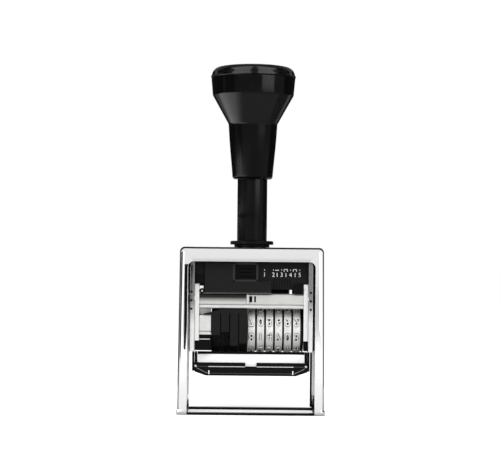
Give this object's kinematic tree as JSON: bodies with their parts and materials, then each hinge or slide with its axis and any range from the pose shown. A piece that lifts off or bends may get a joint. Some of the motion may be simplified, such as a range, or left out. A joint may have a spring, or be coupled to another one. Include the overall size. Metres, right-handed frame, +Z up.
{
  "type": "numbering machine",
  "caption": "Hand numbering machine: a palm grip on a tube plunges a row of type wheels through a chromed frame while the ink pad swings out behind them.",
  "frame": {"origin": "middle of the base, on the desk surface", "axes": "+Z up along the guide tube, front of the wheels towards -Y, +X to the right seen from the front"},
  "size_m": [0.0748, 0.046, 0.1784],
  "materials": {
    "chromed_shell": "bright chrome on drawn steel sheet",
    "bright_steel": "nickelled steel",
    "spring_steel": "spring steel",
    "type_metal": "machined steel type wheel",
    "gloss_black": "gloss black plastic",
    "black_tube": "black lacquered tube",
    "satin_black": "satin black",
    "black_steel": "black lacquered steel",
    "black_type": "black type wheel",
    "rubber_buffer": "rubber",
    "pad_white": "white felt pad",
    "pad_felt": "dry printing felt"
  },
  "bodies": {
    "frame": {"housing": "chromed_shell", "base_ring": "black_steel", "base_rivet_left": "bright_steel", "base_rivet_right": "bright_steel", "guide_rail_left": "bright_steel", "guide_rail_right": "bright_steel", "guide_tube": "black_tube", "tube_collar": "gloss_black", "tube_nut": "bright_steel", "rod_bush": "bright_steel", "stop_buffer": "rubber_buffer", "return_spring": "spring_steel"},
    "carriage": {"carriage_frame": "chromed_shell", "push_rod": "bright_steel", "rod_nut": "bright_steel", "grip_nut": "bright_steel", "spring_seat": "bright_steel", "grip_body": "gloss_black", "grip_cap": "gloss_black", "side_plate_left": "bright_steel", "guard_block_left": "satin_black", "frame_screw_front_left": "bright_steel", "frame_screw_back_left": "bright_steel", "side_plate_right": "bright_steel", "guard_block_right": "satin_black", "frame_screw_front_right": "bright_steel", "frame_screw_back_right": "bright_steel", "bridge_bar": "bright_steel", "wheel_axle": "bright_steel", "spacer_block": "bright_steel", "axle_washer": "bright_steel", "date_shield": "satin_black", "detent_comb": "spring_steel", "pawl_shaft": "bright_steel", "pawl_spring": "spring_steel", "scale_bar": "satin_black", "slide_stop_left": "satin_black", "slide_stop_right": "satin_black", "scale_pin": "bright_steel"},
    "ink_pad": {"pad_tray": "black_steel", "pad_block": "pad_white", "ink_felt": "pad_felt", "pad_arm_left": "black_steel", "follower_pin_left": "bright_steel", "pad_clip_left": "bright_steel", "pad_arm_right": "black_steel", "follower_pin_right": "bright_steel", "pad_clip_right": "bright_steel"},
    "step_selector": {"selector_slide": "satin_black"},
    "index_pawls": {"pawl_comb": "black_steel"},
    "figures_1": {"number_wheel_1": "type_metal"},
    "figures_2": {"number_wheel_2": "type_metal"},
    "figures_3": {"number_wheel_3": "type_metal"},
    "figures_4": {"number_wheel_4": "type_metal"},
    "figures_5": {"number_wheel_5": "type_metal"},
    "figures_6": {"number_wheel_6": "type_metal"},
    "date_1": {"date_wheel_1": "black_type"},
    "date_2": {"date_wheel_2": "black_type"},
    "date_3": {"date_wheel_3": "black_type"},
    "date_4": {"date_wheel_4": "black_type"}
  },
  "joints": [
    {"name": "plunge", "type": "slide", "parent": "frame", "child": "carriage", "axis": [0, 0, -1], "range_m": [0, 0.0296], "stiffness_N_per_m": 800, "springref_m": -0.01, "deforming": ["return_spring"]},
    {"name": "pad_swing", "type": "hinge", "parent": "carriage", "child": "ink_pad", "pos_m": [0, -0.004, 0.0426], "axis": [1, 0, 0], "range_deg": [0, 95]},
    {"name": "pawl_rock", "type": "hinge", "parent": "carriage", "child": "index_pawls", "pos_m": [0, 0.0055, 0.0618], "axis": [1, 0, 0], "range_deg": [0, 20]},
    {"name": "selector_travel", "type": "slide", "parent": "carriage", "child": "step_selector", "axis": [1, 0, 0], "range_m": [0, 0.011]},
    {"name": "figures_1_spin", "type": "hinge", "parent": "carriage", "child": "figures_1", "pos_m": [0, -0.004, 0.0426], "axis": [1, 0, 0], "continuous": true},
    {"name": "figures_2_spin", "type": "hinge", "parent": "carriage", "child": "figures_2", "pos_m": [0, -0.004, 0.0426], "axis": [1, 0, 0], "continuous": true},
    {"name": "figures_3_spin", "type": "hinge", "parent": "carriage", "child": "figures_3", "pos_m": [0, -0.004, 0.0426], "axis": [1, 0, 0], "continuous": true},
    {"name": "figures_4_spin", "type": "hinge", "parent": "carriage", "child": "figures_4", "pos_m": [0, -0.004, 0.0426], "axis": [1, 0, 0], "continuous": true},
    {"name": "figures_5_spin", "type": "hinge", "parent": "carriage", "child": "figures_5", "pos_m": [0, -0.004, 0.0426], "axis": [1, 0, 0], "continuous": true},
    {"name": "figures_6_spin", "type": "hinge", "parent": "carriage", "child": "figures_6", "pos_m": [0, -0.004, 0.0426], "axis": [1, 0, 0], "continuous": true},
    {"name": "date_1_spin", "type": "hinge", "parent": "carriage", "child": "date_1", "pos_m": [0, -0.004, 0.0426], "axis": [1, 0, 0], "continuous": true},
    {"name": "date_2_spin", "type": "hinge", "parent": "carriage", "child": "date_2", "pos_m": [0, -0.004, 0.0426], "axis": [1, 0, 0], "continuous": true},
    {"name": "date_3_spin", "type": "hinge", "parent": "carriage", "child": "date_3", "pos_m": [0, -0.004, 0.0426], "axis": [1, 0, 0], "continuous": true},
    {"name": "date_4_spin", "type": "hinge", "parent": "carriage", "child": "date_4", "pos_m": [0, -0.004, 0.0426], "axis": [1, 0, 0], "continuous": true}
  ],
  "couplings": [
    {"joint": "pad_swing", "follows": "plunge", "rad_per_m": 56},
    {"joint": "pawl_rock", "follows": "plunge", "rad_per_m": 11.7}
  ]
}
